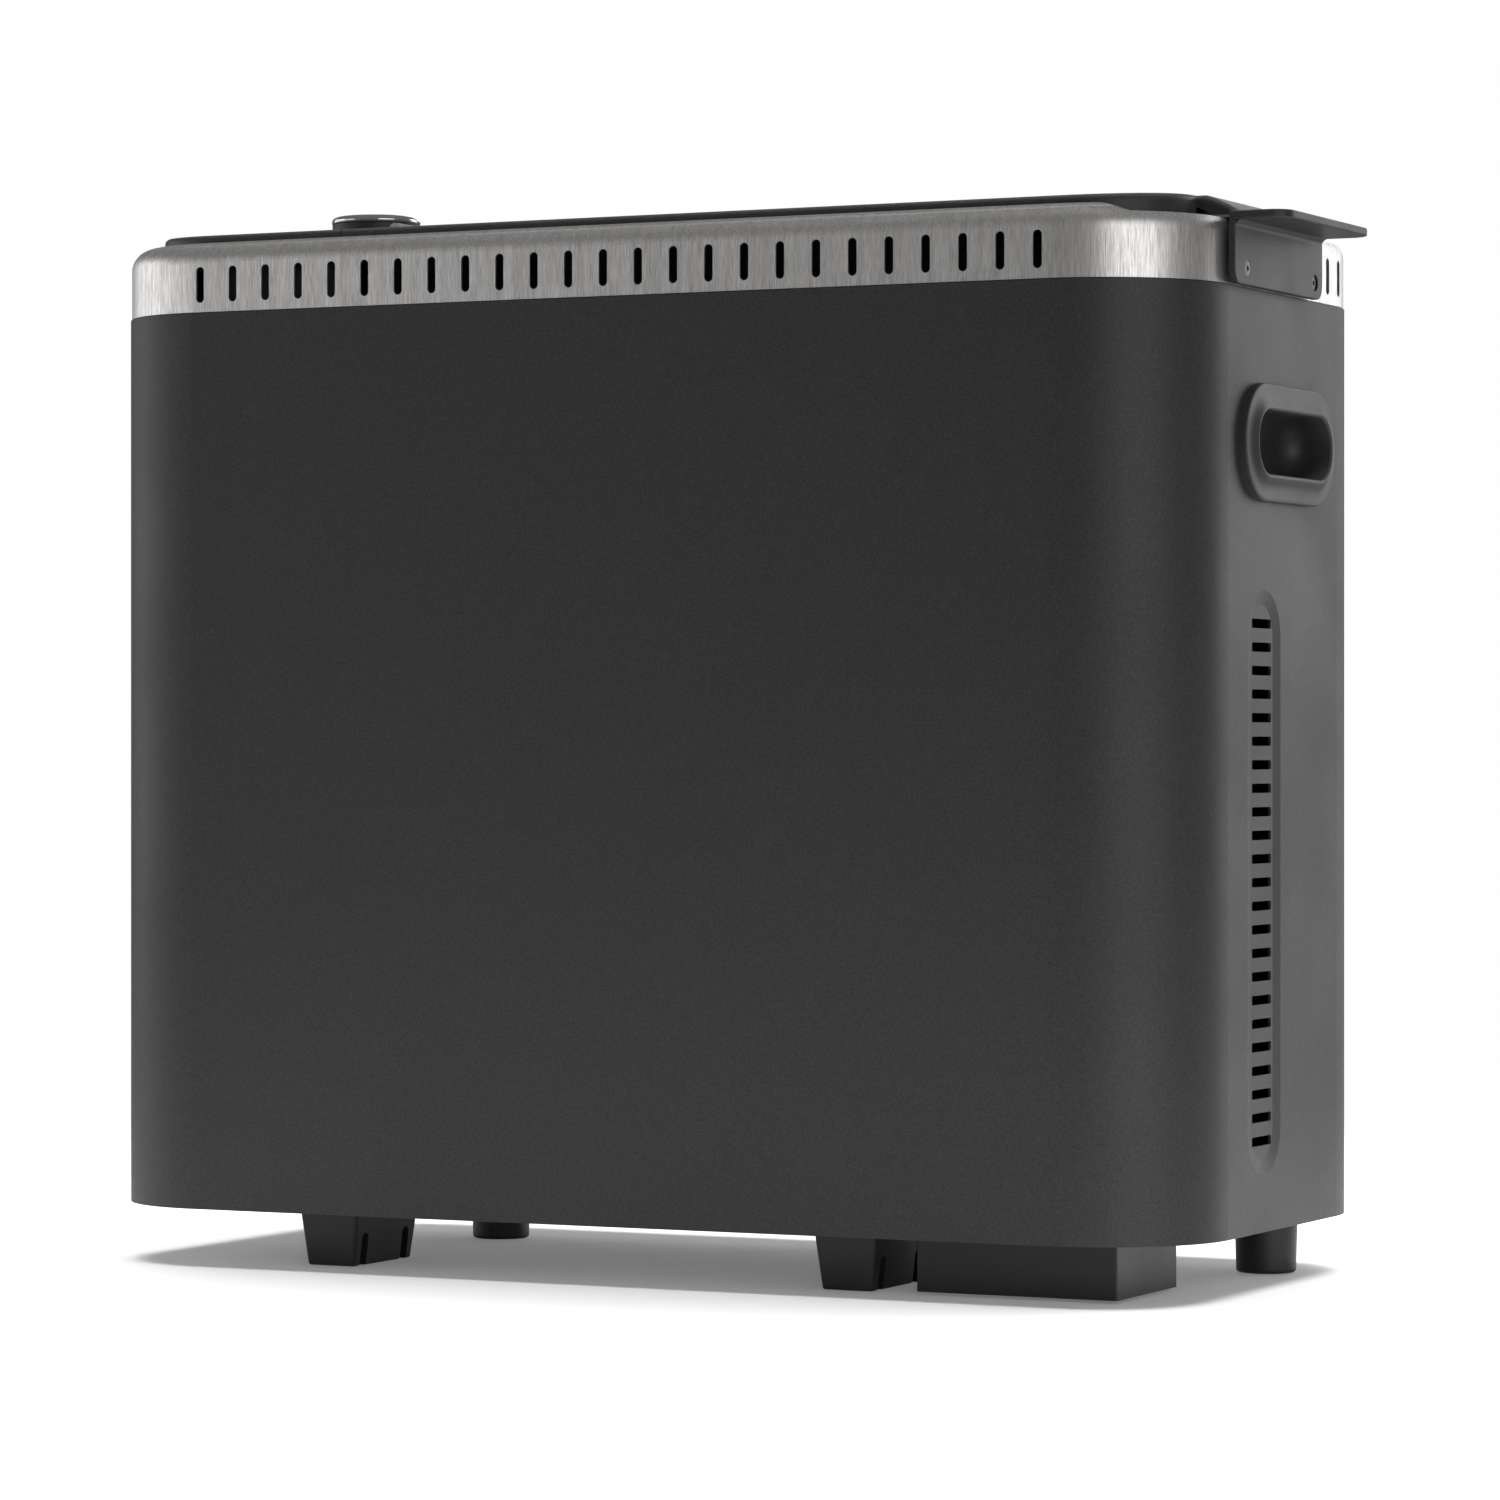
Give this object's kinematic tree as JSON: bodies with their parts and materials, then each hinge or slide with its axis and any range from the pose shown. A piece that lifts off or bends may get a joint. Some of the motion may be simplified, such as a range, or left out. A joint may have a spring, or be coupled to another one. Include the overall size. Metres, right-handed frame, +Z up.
{
  "type": "cabinet smoker",
  "caption": "Slim upright electric cabinet smoker with a hinged top lid, slotted steel collar, control dial, hand holds and a drip drawer underneath.",
  "frame": {"origin": "centre of the whole object's bounding box in plan, on the surface that the feet stand on", "axes": "+X along the long side towards the lid's handle, +Y from the drawer side to the far side, +Z up"},
  "size_m": [0.5632, 0.248, 0.4779],
  "materials": {
    "charcoal_coat": "fine textured powder coat, satin",
    "brushed_steel": "vertical brushed grain",
    "dark_plastic": "fine moulded texture, satin",
    "grey_plastic": "fine moulded texture, satin",
    "black_plastic": "plain moulded",
    "black_enamel": "smooth enamel",
    "chrome_ring": "bright plated",
    "chamber_steel": "satin stainless",
    "plated_steel": "dull zinc plate",
    "screw_steel": "plated",
    "element_sheath": "heat-darkened sheath",
    "mineral_wool": "matted fibre, faced with black glass cloth",
    "black_oxide": "blackened socket screws",
    "seal_rubber": "matte",
    "moulded_white": "moulded"
  },
  "bodies": {
    "root": {"outer_casing": "charcoal_coat", "base_pan": "plated_steel", "front_foot_left": "black_plastic", "front_foot_right": "black_plastic", "rear_foot_left": "black_plastic", "rear_foot_right": "black_plastic", "foot_screws": "screw_steel", "vent_collar": "brushed_steel", "top_frame": "dark_plastic", "rim_plate": "chamber_steel", "chamber_liner": "chamber_steel", "liner_insulation": "mineral_wool", "liner_legs": "plated_steel", "drain_spout": "chamber_steel", "heating_element": "element_sheath", "element_bushings": "plated_steel", "element_supports": "plated_steel", "chip_tray": "black_enamel", "pan_ledges": "chamber_steel", "water_pan": "chamber_steel", "rack_rails": "chamber_steel", "lower_rack": "chamber_steel", "upper_rack": "chamber_steel", "bay_shield": "plated_steel", "thermostat": "moulded_white", "thermostat_nut": "plated_steel", "temperature_probe": "plated_steel", "terminal_block": "moulded_white", "power_inlet": "black_plastic", "inlet_screws": "screw_steel", "hand_hold_right": "grey_plastic", "hand_hold_left": "grey_plastic", "hold_retainers": "plated_steel", "control_deck": "dark_plastic", "hinge_leaf_deck": "plated_steel", "hinge_pin": "plated_steel", "deck_hinge_screws": "screw_steel", "drawer_rails": "plated_steel"},
    "lid": {"lid_shell": "dark_plastic", "lid_liner": "chamber_steel", "lid_insulation": "mineral_wool", "lid_seal": "seal_rubber", "lid_screws": "screw_steel", "lid_arm": "plated_steel", "arm_rivets": "screw_steel", "lid_handle": "dark_plastic", "handle_screws": "black_oxide", "hinge_leaf_lid": "plated_steel", "lid_hinge_screws": "screw_steel"},
    "dial": {"dial_body": "dark_plastic", "dial_ring": "chrome_ring", "dial_spindle": "plated_steel"},
    "drawer": {"drip_drawer": "black_enamel"}
  },
  "joints": [
    {"name": "lid_hinge", "type": "hinge", "parent": "root", "child": "lid", "pos_m": [-0.14995, 0, 0.4656], "axis": [0, -1, 0], "range_deg": [0, 95]},
    {"name": "dial_turn", "type": "hinge", "parent": "root", "child": "dial", "pos_m": [-0.1941, 0, 0.4656], "axis": [0, 0, 1], "range_deg": [-270, 0]},
    {"name": "drawer_slide", "type": "slide", "parent": "root", "child": "drawer", "axis": [0, -1, 0], "range_m": [0, 0.05]}
  ]
}
